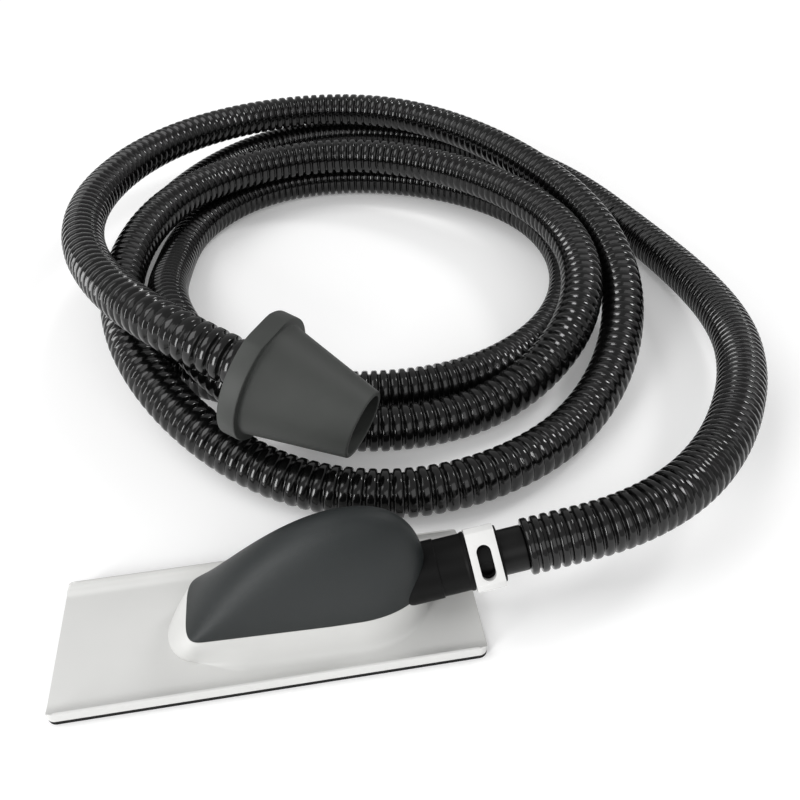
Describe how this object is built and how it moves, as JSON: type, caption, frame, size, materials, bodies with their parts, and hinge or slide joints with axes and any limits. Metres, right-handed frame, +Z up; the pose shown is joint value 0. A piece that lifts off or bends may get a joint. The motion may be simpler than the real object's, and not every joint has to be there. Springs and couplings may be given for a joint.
{
  "type": "dust-extraction hand sander",
  "caption": "Flat hand sanding head with a domed grip, a turning bleed collar, a long ribbed suction hose lying in loops and a rubber cone adapter for a vacuum cleaner.",
  "frame": {"origin": "centre of the sole's underside, where the head lies on a surface", "axes": "+X along the plate towards the hose, +Y across the plate away from the viewer, +Z up"},
  "size_m": [0.5201, 0.6684, 0.1229],
  "materials": {
    "plate_grey": "semi-gloss moulded plastic",
    "pad_black": "matte foam rubber",
    "hook_black": "short hook pile",
    "grip_charcoal": "soft-touch fine grain",
    "screw_steel": "zinc plated",
    "neck_black": "satin moulded plastic",
    "collar_white": "satin moulded plastic",
    "cuff_black": "satin moulded plastic",
    "hose_black": "glossy blow-moulded ribs",
    "sleeve_black": "satin moulded plastic",
    "cone_grey": "matte moulded rubber"
  },
  "bodies": {
    "sander": {"base_plate": "plate_grey", "sole_pad": "pad_black", "hook_sheet": "hook_black", "grip_shell": "grip_charcoal", "grip_screw_1": "screw_steel", "grip_screw_2": "screw_steel", "grip_screw_3": "screw_steel", "grip_screw_4": "screw_steel", "neck_tube": "neck_black", "hose_cuff": "cuff_black", "hose": "hose_black", "hose_end_sleeve": "sleeve_black", "cone_adapter": "cone_grey"},
    "collar": {"bleed_collar": "collar_white"}
  },
  "joints": [
    {"name": "bleed_turn", "type": "hinge", "parent": "sander", "child": "collar", "pos_m": [0.12263, 0, 0.03448], "axis": [0.9863, 0, 0.165], "range_deg": [-25, 40]}
  ]
}
